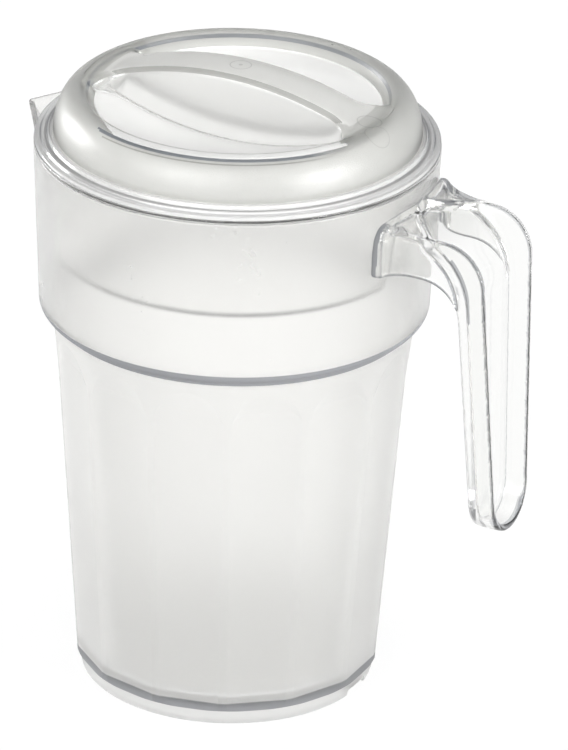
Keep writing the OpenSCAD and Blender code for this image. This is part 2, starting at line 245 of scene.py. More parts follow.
def mark_edges(piece):
    """Stores how sharply the skin bends outward at each corner, for the thin dark lines of painted shade along clear
    edges.
    """
    mesh = bmesh.new()
    mesh.from_mesh(piece.data)
    bends = []
    for corner in mesh.verts:
        bend = sum(edge.calc_face_angle_signed(0) for edge in corner.link_edges) / len(corner.link_edges)
        bends.append(max(bend, 0))
    mesh.free()
    piece.data.attributes.new("edge_bend", "FLOAT", "POINT").data.foreach_set("value", bends)


def body_at(z):
    return BASE_R + (BODY_R - BASE_R) * (z - FOOT_H) / (COLLAR_Z - FOOT_H)


def collar_at(z):
    return COLLAR_R + (RIM_R - COLLAR_R) * (z - COLLAR_Z) / (VESSEL_H - COLLAR_Z)


# The vessel: spun outside and inside, spout, panels, drain notch.
def spout(name, inset, top):
    """The spout's V, or its hollow when it is inset by the wall; top is how far it reaches past the rim."""
    root = WALL / 2 + inset
    spread = math.acos(RIM_R / (RIM_R + SPOUT_REACH))
    flank = RIM_R - root - SPOUT_TIP_R
    tip_low = VESSEL_H - 1 - SPOUT_DROOP + inset / 4
    tip_x, tip_top = SPOUT_TIP_R + inset - RIM_R - SPOUT_REACH, VESSEL_H + (top or -SPOUT_DROOP)
    rods = [(tip_x, 0, tip_low, tip_top, SPOUT_TIP_R)]
    for side in (-1, 1):
        x, y = -flank * math.cos(spread), side * flank * math.sin(spread)
        rods.append((x, y, VESSEL_H - 1, VESSEL_H + top, SPOUT_TIP_R))
    rods.append((root + SPOUT_TIP_R - collar_at(SPOUT_Z), 0, SPOUT_Z, SPOUT_Z + 1, SPOUT_TIP_R))
    return hull_of(name, rods)


def panel_cutter():
    """A slab that cuts one flat panel, round at the top, where it leans out into a long blend."""
    low_z = FOOT_H - 1
    low_half = math.pi * body_at(low_z) / PANELS - PANEL_LAND / 2
    top_half = math.pi * body_at(PANEL_TOP_Z) / PANELS - PANEL_LAND / 2
    low_d = math.sqrt(body_at(low_z) ** 2 - low_half ** 2)
    top_d = math.sqrt(body_at(PANEL_TOP_Z) ** 2 - top_half ** 2)
    low, half = low_half + 0.3, top_half + 0.3
    top_z = PANEL_TOP_Z - 2
    front = rounded([(-low, low_z, 0), (low, low_z, 0), (half, top_z, PANEL_ROUND), (-half, top_z, PANEL_ROUND)], 12)
    lean = (top_d - low_d) / (PANEL_TOP_Z - low_z)
    cutter = slab("panel_cutter", [(low_d + lean * (z - low_z), y, z) for y, z in front], (WALL, 0, 0))
    for corner in cutter.data.vertices:
        place = corner.co / MM
        outer = place.x > low_d + lean * (place.z - low_z) + WALL / 2
        if outer and place.z > low_z + 1:
            corner.co.z += 4 * WALL * MM
    return cutter


def make_vessel():
    foot_in = FOOT_R - FOOT_T
    outside = (
        [(0, FOOT_H), (foot_in - 2, FOOT_H)]
        + arc(foot_in - 1, FOOT_H - 1, 1, 90, 0, 6)
        + arc(foot_in + 0.7, 0.7, 0.7, 180, 270, 6)
        + arc(FOOT_R + FOOT_FULL - 0.9, 0.9, 0.9, 270, 352, 8)
        + arc(BASE_R - BASE_ROUND, FOOT_H - BASE_DROP + BASE_ROUND, BASE_ROUND, -90, -4, 10)
        + [(BODY_R - 0.1, COLLAR_Z - 1.4), (BODY_R + 0.1, COLLAR_Z - 0.5), (BODY_R + 0.5, COLLAR_Z)]
        + arc(COLLAR_R - COLLAR_ROUND, COLLAR_Z + COLLAR_LIFT + COLLAR_ROUND, COLLAR_ROUND, -90, -2, 18)
        + [(RIM_R - 0.04, VESSEL_H - 1)]
        + arc(RIM_R - 0.6, VESSEL_H - 0.6, 0.56, 0, 90, 6)
        + [(0, VESSEL_H)]
    )
    low_r, step_r, top_r = body_at(FLOOR_Z) - WALL, BODY_R - WALL, RIM_R - WALL
    inside = (
        [(0, FLOOR_Z)]
        + arc(low_r - FLOOR_ROUND, FLOOR_Z + FLOOR_ROUND, FLOOR_ROUND, -90, 0, 18)
        + [(step_r - 0.1, COLLAR_Z - 0.4), (step_r + 0.15, COLLAR_Z + 0.4), (step_r + 0.9, COLLAR_Z + 1.2)]
        + [(COLLAR_IN_R - 1.2, COLLAR_Z + 2.4), (COLLAR_IN_R - 0.3, COLLAR_Z + 3.1)]
        + [(COLLAR_IN_R + 0.05, COLLAR_Z + 4.1)]
        + [(top_r - 0.03, VESSEL_H - 0.9), (top_r + 0.1, VESSEL_H - 0.4), (top_r + 0.5, VESSEL_H)]
        + [(top_r + 0.5, VESSEL_H + 3), (0, VESSEL_H + 3)]
    )
    steps = PANELS * 14
    vessel = lathe("vessel_shell", outside, steps)
    combine(vessel, spout("spout_form", 0, 0), "UNION")
    combine(vessel, lathe("hollow", inside, steps), "DIFFERENCE")
    combine(vessel, spout("spout_hollow", SPOUT_WALL, 1), "DIFFERENCE")
    cutters = turned_copies(panel_cutter(), [math.tau * i / PANELS for i in range(PANELS)])
    combine(vessel, cutters, "DIFFERENCE")
    low_w, top = NOTCH_HALF_W + 0.3, (NOTCH_H, NOTCH_ROUND)
    notch = rounded([(-low_w, -2, 0), (low_w, -2, 0), (NOTCH_HALF_W, *top), (-NOTCH_HALF_W, *top)])
    combine(vessel, along("notch", notch, 20, 70), "DIFFERENCE")
    soft_shade(vessel, 8)
    return vessel


# The handle: a hook with an open trough, cut from slabs, then rounded all over.
def trough_plan(grow):
    """Plan of the open trough: a round nose toward the collar, then a V."""
    r = TROUGH_TIP_R + grow
    half = ARM_HALF_W - HANDLE_WALL + grow
    tip_x = TROUGH_X + TROUGH_TIP_R
    lean = math.radians(TROUGH_ANGLE)
    side_x, side_y = tip_x - r * math.sin(lean), r * math.cos(lean)
    open_x = side_x + (half - side_y) / math.tan(lean)
    nose = arc(tip_x, 0, r, 180 - (90 - TROUGH_ANGLE), 180 + (90 - TROUGH_ANGLE), 16)
    return nose + [(open_x, -half), (CLEAR_X, -half), (CLEAR_X, half), (open_x, half)]


def lean_below(z):
    """The angle at which an arc centred at height z runs straight into the leaning grip, in degrees."""
    return math.degrees(math.atan(GRIP_LEAN / (z - GRIP_END_Z)))


def outside_web(name, r):
    """All that lies outside the web, which bends from the arm down into the grip at radius r."""
    sweep = arc(TROUGH_X, WEB_Z, r, 90, lean_below(WEB_Z), 40)
    grip = [(TROUGH_X + r + GRIP_LEAN, GRIP_END_Z), (CLEAR_X, GRIP_END_Z), (CLEAR_X, CLEAR_Z)]
    return across(name, [(TROUGH_X, CLEAR_Z)] + sweep + grip, 40)


def grip_front(inset):
    """Front of the grip, which narrows to a round end."""
    end_r, end_z = GRIP_END_HALF_W - inset, GRIP_END_Z + GRIP_END_HALF_W
    top = ARM_HALF_W - inset
    end = arc(0, end_z, end_r, 180, 360, 40)
    return end + [(top, ARM_LOW_Z), (top, CLEAR_Z), (-top, CLEAR_Z), (-top, ARM_LOW_Z)]


def off_trough(x, y):
    """Distance in plan from the open trough; below zero inside it."""
    lean = math.radians(TROUGH_ANGLE)
    x -= TROUGH_X + TROUGH_TIP_R
    if x * math.cos(lean) + abs(y) * math.sin(lean) < 0:
        return math.hypot(x, y) - TROUGH_TIP_R
    return abs(y) * math.cos(lean) - x * math.sin(lean) - TROUGH_TIP_R


def ease(t):
    t = min(max(t, 0), 1)
    return t * t * (3 - 2 * t)


def raise_root(handle):
    """Sweeps the top of the arm up to the collar, crowned across and clear of the trough."""
    for corner in handle.data.vertices:
        x, y, z = corner.co / MM
        if x > RIM_R + RISE_RUN + 1 or z < ARM_Z - RISE_DEPTH:
            continue
        run = min(max((x - RIM_R + 1) / RISE_RUN, 0), 1)
        lift = ROOT_RISE * (1 - run) ** 2 * (1 - (y / CROWN_HALF_W) ** 2)
        lift *= ease((z - ARM_Z + RISE_DEPTH) / RISE_DEPTH) * ease(off_trough(x, y) / 1.2)
        spread = 1 + lift * (RIM_R - COLLAR_R) / (VESSEL_H - COLLAR_Z) / math.hypot(x, y)
        corner.co = Vector((x * spread, y * spread, z + lift)) * MM


def arm_plan(back_x, inset):
    """Plan of the arm, which flares toward the collar, or of the hollow in it when inset by the wall."""
    run, flare, half_w = FLARE_RUN + inset, ARM_FLARE + inset, ARM_HALF_W - inset
    near = ellipse(ROOT_X, -ROOT_HALF_W, run, flare, 180, 90, CORNER_STEPS)
    far = ellipse(ROOT_X, ROOT_HALF_W, run, flare, 270, 180, CORNER_STEPS)
    bend = [(BEND_X, -half_w), (BEND_X, half_w)]
    return [(back_x, -ROOT_HALF_W)] + near + bend + far + [(back_x, ROOT_HALF_W)]


def make_handle():
    side = (
        [(55, ARM_LOW_Z), (55, ARM_Z)]
        + arc(BEND_X - BEND_R, ARM_Z - BEND_R, BEND_R, 90, lean_below(ARM_Z - BEND_R), 32)
        + [(BEND_X + GRIP_LEAN, GRIP_END_Z), (BACK_X + GRIP_LEAN, GRIP_END_Z)]
        + arc(BACK_X - FINGER_R, ARM_LOW_Z - FINGER_R, FINGER_R, lean_below(ARM_LOW_Z - FINGER_R), 90, 32)
    )
    half, low, top = ROOT_HALF_W, ARM_LOW_Z - 0.2, (ARM_Z, ROOT_ROUND)
    arm = upright("arm", arm_plan(55, 0), low, ARM_Z + 1)
    front = rounded([(-half, low, 0), (half, low, 0), (half, *top), (-half, *top)])
    combine(arm, along("arm_front", front, 50, BEND_X + 1), "INTERSECT")
    combine(arm, along("grip", grip_front(0), BACK_X - FINGER_R, CLEAR_X), "UNION")
    handle = across("handle_hook", side, 2 * ARM_HALF_W)
    combine(handle, arm, "INTERSECT")
    trough = outside_web("trough", WEB_R)
    combine(trough, upright("trough_plan", trough_plan(0), GRIP_END_Z - 1, CLEAR_Z), "INTERSECT")
    combine(trough, along("trough_front", grip_front(HANDLE_WALL), 0, CLEAR_X), "INTERSECT")
    combine(handle, trough, "DIFFERENCE")
    inner = BEND_R - HANDLE_WALL
    under = (
        [(50, HOLLOW_LOW_Z), (50, ARM_Z - HANDLE_WALL)]
        + arc(BEND_X - BEND_R, ARM_Z - BEND_R, inner, 90, 0, 32)
        + [(BEND_X - HANDLE_WALL, HOLLOW_LOW_Z)]
    )
    hollow = across("bracket_hollow", under, half - HANDLE_WALL)
    combine(hollow, upright("hollow_plan", arm_plan(50, HANDLE_WALL), WEB_Z - 10, ARM_Z + 1), "INTERSECT")
    web = outside_web("web", WEB_R - HANDLE_WALL - 0.3)
    combine(web, upright("web_plan", trough_plan(HANDLE_WALL), GRIP_END_Z - 1, ARM_Z + 2), "INTERSECT")
    combine(hollow, web, "DIFFERENCE")
    combine(handle, hollow, "DIFFERENCE")
    low_r, top_r = COLLAR_R + WELD_GAP, RIM_R + WELD_GAP
    collar = [(0, COLLAR_Z), (low_r, COLLAR_Z), (top_r, VESSEL_H), (0, VESSEL_H)]
    combine(handle, lathe("collar_form", collar, ROUND_STEPS), "DIFFERENCE")
    bpy.ops.object.mode_set(mode="EDIT")
    bpy.ops.mesh.select_all(action="SELECT")
    bpy.ops.mesh.remove_doubles(threshold=0.02 * MM)
    bpy.ops.mesh.dissolve_limited(angle_limit=math.radians(0.5))
    bpy.ops.object.mode_set(mode="OBJECT")
    sharp = {"limit_method": "ANGLE", "angle_limit": math.radians(35), "use_clamp_overlap": False}
    use(handle, "BEVEL", width=HANDLE_ROUND * MM, segments=3, **sharp)
    use(handle, "REMESH", mode="VOXEL", voxel_size=0.41 * MM)
    use(handle, "SMOOTH", factor=0.5, iterations=14)
    take(handle)
    bpy.ops.object.shade_smooth()
    raise_root(handle)
    use(handle, "SMOOTH", factor=0.5, iterations=5)
    mark_edges(handle)
    return handle


def make_bubble(name, place, r):
    """A small pocket of air in the clear plastic."""
    start_fresh()
    bpy.ops.mesh.primitive_uv_sphere_add(segments=24, ring_count=12, radius=r * MM, location=Vector(place) * MM)
    bubble = bpy.context.object
    bubble.name = name
    bpy.ops.object.transform_apply(location=True, rotation=True, scale=True)
    bpy.ops.object.mode_set(mode="EDIT")
    bpy.ops.mesh.select_all(action="SELECT")
    bpy.ops.mesh.flip_normals()
    bpy.ops.object.mode_set(mode="OBJECT")
    bpy.ops.object.shade_smooth()
    return bubble


# The lid: a spun cap with a bowl, an arched bar across it, a skirt below and a loose ring.
def bowl_line(r, z, rise):
    """The bowl's curve from its rim at radius r in to the middle, where it is lowest."""
    sphere_r = (r * r + rise * rise) / (2 * rise)
    steps = 40
    reach = [r * i / steps for i in range(steps, -1, -1)]
    return [(x, z + sphere_r - math.sqrt(sphere_r ** 2 - x ** 2)) for x in reach]


def bar_height(r, drop=0):
    """Top of the arched bar at a distance from the lid's middle; it runs level into the crest."""
    arch_r = BAR_ARCH_R - drop
    axis_z = BAR_TOP_Z - BAR_ARCH_R
    if r <= BLEND_R or drop:
        return axis_z + math.sqrt(arch_r ** 2 - r ** 2)
    start_z = axis_z + math.sqrt(arch_r ** 2 - BLEND_R ** 2)
    slope = -BLEND_R / math.sqrt(arch_r ** 2 - BLEND_R ** 2)
    run = CREST_R - BLEND_R
    t = min((r - BLEND_R) / run, 1)
    rise = (2 * t ** 3 - 3 * t ** 2 + 1) * start_z + (3 * t ** 2 - 2 * t ** 3) * CREST_Z
    return rise + (t ** 3 - 2 * t ** 2 + t) * run * slope


def crest_height(r):
    """Top of the crest's inner fall at a distance from the lid's middle."""
    part = min(max((CREST_R - r) / CREST_W, 0), 1)
    return CREST_Z - CREST_FALL + CREST_FALL * math.sqrt(1 - part ** 2)


def bar_plan(half_w):
    """Half of the bar's edge as (x, y): straight, then the round corner of the well, then clear of it."""
    rim = CREST_R - CREST_W
    round_y = half_w + WELL_ROUND
    round_x = math.sqrt((rim - WELL_ROUND) ** 2 - round_y ** 2)
    turn = math.atan2(round_y, round_x)
    straight = [(round_x * i / 30, half_w) for i in range(30)]
    corner = arc(round_x, round_y, WELL_ROUND, -90, math.degrees(turn), 28)
    clear = [(r * math.cos(turn), r * math.sin(turn)) for r in (rim + 0.8, rim + 2, rim + 5, rim + 10)]
    return straight + corner + clear


def core_plan(half_w):
    """Half of the edge of the hollow in the bar, straight all along."""
    return [((CREST_R - 2) * i / 40, half_w) for i in range(41)]


def arched_bar(name, plan, straight, drop, round_r):
    """A bar along X under the arch; plan is half of its edge from the middle to the end, straight at first."""
    low_z = BOWL_Z - 2 * LID_WALL
    last = len(plan) - 1
    ridge = [x for x, y in plan[:straight + 1]]
    ridge += [ridge[-1] + (CREST_R + 6 - ridge[-1]) * (i + 1) / (last - straight) for i in range(last - straight)]
    start_fresh()
    bpy.ops.mesh.primitive_grid_add(x_subdivisions=2 * last, y_subdivisions=16, size=2)
    piece = bpy.context.object
    piece.name = name
    bpy.ops.object.mode_set(mode="EDIT")
    mesh = bmesh.from_edit_mesh(piece.data)
    for corner in mesh.verts:
        step = round(abs(corner.co.x) * last)
        edge_x, half = plan[step]
        side = corner.co.y if abs(corner.co.y) > 0.99 else 0.77 * corner.co.y
        x = math.copysign(ridge[step] + (edge_x - ridge[step]) * abs(side) ** 3, corner.co.x)
        y = side * half
        r = math.hypot(x, y)
        sink = min(max((step - straight - 14) / 14, 0), 1) * abs(side) ** 6
        corner.co = Vector((x, y, bar_height(r, drop) * (1 - sink) + crest_height(r) * sink)) * MM
    bpy.ops.mesh.select_all(action="SELECT")
    bpy.ops.mesh.extrude_region_move(TRANSFORM_OT_translate={"value": (0, 0, -0.1)})
    mesh = bmesh.from_edit_mesh(piece.data)
    for corner in mesh.verts:
        if corner.select:
            depth = (corner.co.z + 0.1) / MM - low_z
            corner.co.z = low_z * MM
            corner.co.y *= 1 + BAR_DRAFT * depth / (BAR_TOP_Z - low_z) / plan[0][1]
    bpy.ops.mesh.select_mode(type="EDGE")
    bpy.ops.mesh.select_all(action="DESELECT")
    for edge in mesh.edges:
        one, two = edge.verts
        top = min(one.co.z, two.co.z) > (low_z + 1) * MM
        walls = [f for f in edge.link_faces if min(v.co.z for v in f.verts) < (low_z + 1) * MM]
        if top and len(walls) == 1 and abs(one.co.x - two.co.x) > 0.001 * MM:
            edge.select_set(True)
    bmesh.update_edit_mesh(piece.data)
    bpy.ops.mesh.bevel(offset=round_r * MM, offset_type="OFFSET", segments=8, affect="EDGES")
    bpy.ops.mesh.select_mode(type="VERT")
    close_up()
    return piece


def disc(name, r, low, high):
    return lathe(name, [(0, low), (r, low), (r, high), (0, high)], ROUND_STEPS)


def make_lid_cap():
    bowl_rim_r, bowl_rim_z = CREST_R - CREST_W, CREST_Z - CREST_FALL
    bowl_r, rise = bowl_rim_r - LIP_W, CREST_Z - CREST_FALL - LIP_H - BOWL_Z
    slope = RIDGE_H / 2
    high_z, high_r = RIDGE_Z + RIDGE_H, RIDGE_R - RIDGE_W
    top = (
        [(0, FLANGE_Z)]
        + arc(FLANGE_R - 0.3, FLANGE_Z + 0.3, 0.3, -90, 0, 5)
        + arc(FLANGE_R - 0.5, RIDGE_Z - 0.5, 0.5, 0, 90, 6)
        + [(RIDGE_R + 0.2, RIDGE_Z), (RIDGE_R - 0.05, RIDGE_Z + 0.15)]
        + [(RIDGE_R - slope + 0.1, high_z - 0.2), (RIDGE_R - slope - 0.25, high_z)]
        + [(high_r + 0.2, high_z), (high_r - 0.05, high_z + 0.15)]
        + [(high_r - slope + 0.1, SHOULDER_Z - 0.2), (high_r - slope - 0.25, SHOULDER_Z)]
        + [(SHOULDER_R + 0.35, SHOULDER_Z), (SHOULDER_R + 0.05, SHOULDER_Z + 0.25)]
        + ellipse(CREST_R, SHOULDER_Z, SHOULDER_R - CREST_R, CREST_Z - SHOULDER_Z, 4, 90, 40)
        + ellipse(CREST_R, bowl_rim_z, CREST_W, CREST_FALL, 96, 172, 14)
        + bowl_line(bowl_r, BOWL_Z, rise)
    )
    under = (
        [(0, FLANGE_Z - 1), (SKIRT_R - SKIRT_T, FLANGE_Z - 1), (SKIRT_R - SKIRT_T, RIDGE_Z - slope)]
        + [(SHOULDER_R - LID_WALL + 0.4, SHOULDER_Z - LID_WALL), (SHOULDER_R - LID_WALL, SHOULDER_Z - LID_WALL + 0.4)]
        + ellipse(CREST_R, SHOULDER_Z, SHOULDER_R - CREST_R - LID_WALL, CREST_Z - SHOULDER_Z - LID_WALL, 0, 90, 40)
        + [(bowl_rim_r, bowl_rim_z - LID_WALL)]
        + bowl_line(bowl_r, BOWL_Z - LID_WALL, rise)
    )
    cap = lathe("lid_dome", top, ROUND_STEPS)
    bar = arched_bar("bar", bar_plan(BAR_HALF_W), 30, 0, BAR_ROUND)
    combine(bar, disc("bar_end", CREST_R, FLANGE_Z, BAR_TOP_Z + 5), "INTERSECT")
    combine(cap, bar, "UNION")
    combine(cap, lathe("cap_under", under, ROUND_STEPS), "DIFFERENCE")
    core = arched_bar("bar_core", core_plan(BAR_HALF_W - LID_WALL), 40, LID_WALL, BAR_ROUND / 2)
    combine(core, disc("core_end", bowl_r - LID_WALL, FLANGE_Z - 1, BAR_TOP_Z + 5), "INTERSECT")
    combine(cap, core, "DIFFERENCE")
    soft_shade(cap, 28)
    return cap


def make_skirt():
    low_r = SKIRT_R - SKIRT_DRAFT
    half_t = SKIRT_T / 2
    section = (
        arc(low_r - half_t, SKIRT_LOW_Z + half_t, half_t, 180, 360, 16)
        + [(SKIRT_R, VESSEL_H), (SKIRT_R, FLANGE_Z), (SKIRT_R - SKIRT_T, FLANGE_Z), (SKIRT_R - SKIRT_T, VESSEL_H)]
    )
    skirt = lathe("lid_plug", section, ROUND_STEPS, closed=True)
    half, low = WINDOW_W / 2, SKIRT_LOW_Z - 4
    foot = half + 2 * WINDOW_ROUND
    corner = arc(half + WINDOW_ROUND, SKIRT_LOW_Z + WINDOW_ROUND, WINDOW_ROUND, 270, 180, 12)
    top = arc(half - WINDOW_ROUND, SKIRT_BAND_Z - WINDOW_ROUND, WINDOW_ROUND, 0, 90, 12)
    right = [(foot, low), (foot, SKIRT_LOW_Z)] + corner + top
    combine(skirt, along("window", right + [(-y, z) for y, z in reversed(right)], 0, 80), "DIFFERENCE")
    slot = [(SLOT_W / 2, low)] + arc(0, SKIRT_BAND_Z - SLOT_W / 2, SLOT_W / 2, 0, 180, 16) + [(-SLOT_W / 2, low)]
    step = SLOT_PITCH / low_r
    turns = [math.pi + (i - (SLOTS - 1) / 2) * step for i in range(SLOTS)]
    combine(skirt, turned_copies(along("slot", slot, 40, 80), turns), "DIFFERENCE")
    soft_shade(skirt, 28)
    return skirt


def make_ring():
    inner, outer = SKIRT_R + 0.3, RIM_R - 0.05
    corners = [(inner, RING_LOW, 0.2), (outer, RING_LOW, 0.35), (outer, RING_HIGH, 0.35), (inner, RING_HIGH, 0.2)]
    ring = lathe("rim_band", rounded(corners, 5), ROUND_STEPS, closed=True)
    soft_shade(ring, 28)
    return ring


# Materials.
def socket(group, name, kind, way, value=None):
    made = group.interface.new_socket(name, in_out=way, socket_type=kind)
    if value is not None:
        made.default_value = value


def math_node(tree, operation, *values):
    made = tree.nodes.new("ShaderNodeMath")
    made.operation = operation
    for i, value in enumerate(values):
        if isinstance(value, (int, float)):
            made.inputs[i].default_value = value
        else:
            tree.links.new(value, made.inputs[i])
    return made.outputs[0]


def noise_node(tree, place, scale, detail=2.0):
    made = tree.nodes.new("ShaderNodeTexNoise")
    made.inputs["Detail"].default_value = detail
    tree.links.new(place, made.inputs["Vector"])
    if isinstance(scale, (int, float)):
        made.inputs["Scale"].default_value = scale
    else:
        tree.links.new(scale, made.inputs["Scale"])
    return made.outputs["Fac"]


def make_haze_group():
    """Moulded plastic skin: uneven gloss and a fine grain for the bump."""
    group = bpy.data.node_groups.new("plastic_skin", "ShaderNodeTree")
    socket(group, "Roughness", "NodeSocketFloat", "INPUT", 0.3)
    socket(group, "Spread", "NodeSocketFloat", "INPUT", 0.1)
    socket(group, "Grain Scale", "NodeSocketFloat", "INPUT", 1500.0)
    socket(group, "Roughness", "NodeSocketFloat", "OUTPUT")
    socket(group, "Height", "NodeSocketFloat", "OUTPUT")
    given = group.nodes.new("NodeGroupInput")
    result = group.nodes.new("NodeGroupOutput")
    place = group.nodes.new("ShaderNodeTexCoord").outputs["Object"]
    cloud = noise_node(group, place, 28.0, 4.0)
    scuff = noise_node(group, place, 260.0, 3.0)
    parts = math_node(group, "MULTIPLY", cloud, 0.6), math_node(group, "MULTIPLY", scuff, 0.4)
    both = math_node(group, "ADD", *parts)
    swing = math_node(group, "MULTIPLY", math_node(group, "SUBTRACT", both, 0.5), given.outputs["Spread"])
    group.links.new(math_node(group, "ADD", given.outputs["Roughness"], swing), result.inputs["Roughness"])
    grain = noise_node(group, place, given.outputs["Grain Scale"], 1.0)
    group.links.new(grain, result.inputs["Height"])
    return group


def make_band_group():
    """1 in a band of height between two radii, fading over a soft edge and toward the middle plane; metres."""
    group = bpy.data.node_groups.new("height_band", "ShaderNodeTree")
    socket(group, "Middle", "NodeSocketFloat", "INPUT", 0.1)
    socket(group, "Half Width", "NodeSocketFloat", "INPUT", 0.002)
    socket(group, "Soft", "NodeSocketFloat", "INPUT", 0.001)
    socket(group, "Least Radius", "NodeSocketFloat", "INPUT", 0.0)
    socket(group, "Most Radius", "NodeSocketFloat", "INPUT", 1.0)
    socket(group, "Side From", "NodeSocketFloat", "INPUT", -1.0)
    socket(group, "Side To", "NodeSocketFloat", "INPUT", -0.5)
    socket(group, "Mask", "NodeSocketFloat", "OUTPUT")
    given = group.nodes.new("NodeGroupInput")
    result = group.nodes.new("NodeGroupOutput")
    place = group.nodes.new("ShaderNodeTexCoord").outputs["Object"]
    split = group.nodes.new("ShaderNodeSeparateXYZ")
    group.links.new(place, split.inputs[0])
    off = math_node(group, "ABSOLUTE", math_node(group, "SUBTRACT", split.outputs["Z"], given.outputs["Middle"]))
    inside = math_node(group, "SUBTRACT", given.outputs["Half Width"], off)
    fade = math_node(group, "DIVIDE", inside, given.outputs["Soft"])
    level = math_node(group, "ADD", fade, 0.5)
    squares = [math_node(group, "POWER", split.outputs[axis], 2.0) for axis in "XY"]
    flat = math_node(group, "POWER", math_node(group, "ADD", *squares), 0.5)
    past = math_node(group, "GREATER_THAN", flat, given.outputs["Least Radius"])
    out = math_node(group, "MULTIPLY", past, math_node(group, "LESS_THAN", flat, given.outputs["Most Radius"]))
    clamp = group.nodes.new("ShaderNodeClamp")
    group.links.new(level, clamp.inputs["Value"])
    aside = math_node(group, "SUBTRACT", math_node(group, "ABSOLUTE", split.outputs["Y"]), given.outputs["Side From"])
    span = math_node(group, "SUBTRACT", given.outputs["Side To"], given.outputs["Side From"])
    share = math_node(group, "DIVIDE", aside, span)
    reach = group.nodes.new("ShaderNodeClamp")
    group.links.new(share, reach.inputs["Value"])
    both = math_node(group, "MULTIPLY", clamp.outputs[0], reach.outputs[0])
    group.links.new(math_node(group, "MULTIPLY", both, out), result.inputs["Mask"])
    return group


def make_ring_group():
    """1 along a thin circle round a place on the part, fading out over a soft edge; metres."""
    group = bpy.data.node_groups.new("ring_mark", "ShaderNodeTree")
    socket(group, "Place", "NodeSocketVector", "INPUT")
    socket(group, "Radius", "NodeSocketFloat", "INPUT", 0.004)
    socket(group, "Half Width", "NodeSocketFloat", "INPUT", 0.0002)
    socket(group, "Soft", "NodeSocketFloat", "INPUT", 0.0002)
    socket(group, "Mask", "NodeSocketFloat", "OUTPUT")
    given = group.nodes.new("NodeGroupInput")
    result = group.nodes.new("NodeGroupOutput")
    span = group.nodes.new("ShaderNodeVectorMath")
    span.operation = "DISTANCE"
    group.links.new(group.nodes.new("ShaderNodeTexCoord").outputs["Object"], span.inputs[0])
    group.links.new(given.outputs["Place"], span.inputs[1])
    off = math_node(group, "ABSOLUTE", math_node(group, "SUBTRACT", span.outputs["Value"], given.outputs["Radius"]))
    inside = math_node(group, "SUBTRACT", given.outputs["Half Width"], off)
    fade = math_node(group, "DIVIDE", inside, given.outputs["Soft"])
    clamp = group.nodes.new("ShaderNodeClamp")
    group.links.new(math_node(group, "ADD", fade, 0.5), clamp.inputs["Value"])
    group.links.new(clamp.outputs[0], result.inputs["Mask"])
    return group


SKIN, BAND, RING = make_haze_group(), make_band_group(), make_ring_group()


def shader(name):
    material = bpy.data.materials.new(name)
    material.use_nodes = True
    nodes = material.node_tree.nodes
    return material, material.node_tree, nodes["Principled BSDF"]


def use_group(tree, group, values):
    made = tree.nodes.new("ShaderNodeGroup")
    made.node_tree = group
    for key, value in values.items():
        made.inputs[key].default_value = value
    return made


def tint(tree, last, mask, shade):
    """Mixes a shade over a colour by a mask."""
    mix = tree.nodes.new("ShaderNodeMix")
    mix.data_type = "RGBA"
    mix.inputs[7].default_value = (*shade, 1)
    tree.links.new(mask, mix.inputs[0])
    tree.links.new(last, mix.inputs[6])
    return mix.outputs[2]


def ranged(tree, value, low, high):
    made = tree.nodes.new("ShaderNodeMapRange")
    made.interpolation_type = "SMOOTHSTEP"
    made.inputs["From Min"].default_value, made.inputs["From Max"].default_value = low, high
    tree.links.new(value, made.inputs["Value"])
    return made.outputs[0]


def plastic(name, colour, roughness, transmission=1.0, spread=0.1, grain=1500.0, bump=0.0, ior=1.5,
            bands=(), rings=(), limb=None, lines=None):
    """Clear or hazy plastic.

    bands are painted shade, (colour, middle, half width, soft, least radius, most radius), and two distances from the
    middle plane may follow, between which a band fades in. rings are (place, radius, half width). limb is (colour,
    from, to), darker where the skin turns away, mostly painted shade with a little for the longer path through the
    plastic, and lines is (colour, from, to), painted shade along sharp edges.
    """
    material, tree, body = shader(name)
    body.inputs["IOR"].default_value = ior
    body.inputs["Transmission Weight"].default_value = transmission
    skin = use_group(tree, SKIN, {"Roughness": roughness, "Spread": spread, "Grain Scale": grain})
    tree.links.new(skin.outputs["Roughness"], body.inputs["Roughness"])
    height = skin.outputs["Height"]
    place = tree.nodes.new("ShaderNodeTexCoord").outputs["Object"]
    tone = tree.nodes.new("ShaderNodeMix")
    tone.data_type = "RGBA"
    tone.inputs[6].default_value = (*colour, 1)
    tone.inputs[7].default_value = (*[c * 0.975 for c in colour], 1)
    tree.links.new(noise_node(tree, place, 9.0, 3.0), tone.inputs[0])
    last = tone.outputs[2]
    for shade, middle, half, soft, least, most, *side in bands:
        sizes = {"Middle": middle, "Half Width": half, "Soft": soft, "Least Radius": least, "Most Radius": most}
        sizes.update(zip(("Side From", "Side To"), side))
        band = use_group(tree, BAND, {key: size * MM for key, size in sizes.items()})
        last = tint(tree, last, band.outputs["Mask"], shade)
    for spot, radius, half in rings:
        ring = use_group(tree, RING, {"Place": Vector(spot) * MM, "Radius": radius * MM, "Half Width": half * MM})
        mask = ring.outputs["Mask"]
        last = tint(tree, last, math_node(tree, "MULTIPLY", mask, 0.7), [c * 0.55 for c in colour])
        height = math_node(tree, "ADD", height, math_node(tree, "MULTIPLY", mask, 3.0))
    if limb:
        turn = tree.nodes.new("ShaderNodeLayerWeight")
        last = tint(tree, last, ranged(tree, turn.outputs["Facing"], *limb[1:]), limb[0])
    if lines:
        bend = tree.nodes.new("ShaderNodeAttribute")
        bend.attribute_name = "edge_bend"
        last = tint(tree, last, ranged(tree, bend.outputs["Fac"], *lines[1:]), lines[0])
    tree.links.new(last, body.inputs["Base Color"])
    relief = tree.nodes.new("ShaderNodeBump")
    relief.inputs["Strength"].default_value = bump
    relief.inputs["Distance"].default_value = 0.0004
    tree.links.new(height, relief.inputs["Height"])
    tree.links.new(relief.outputs[0], body.inputs["Normal"])
    return material


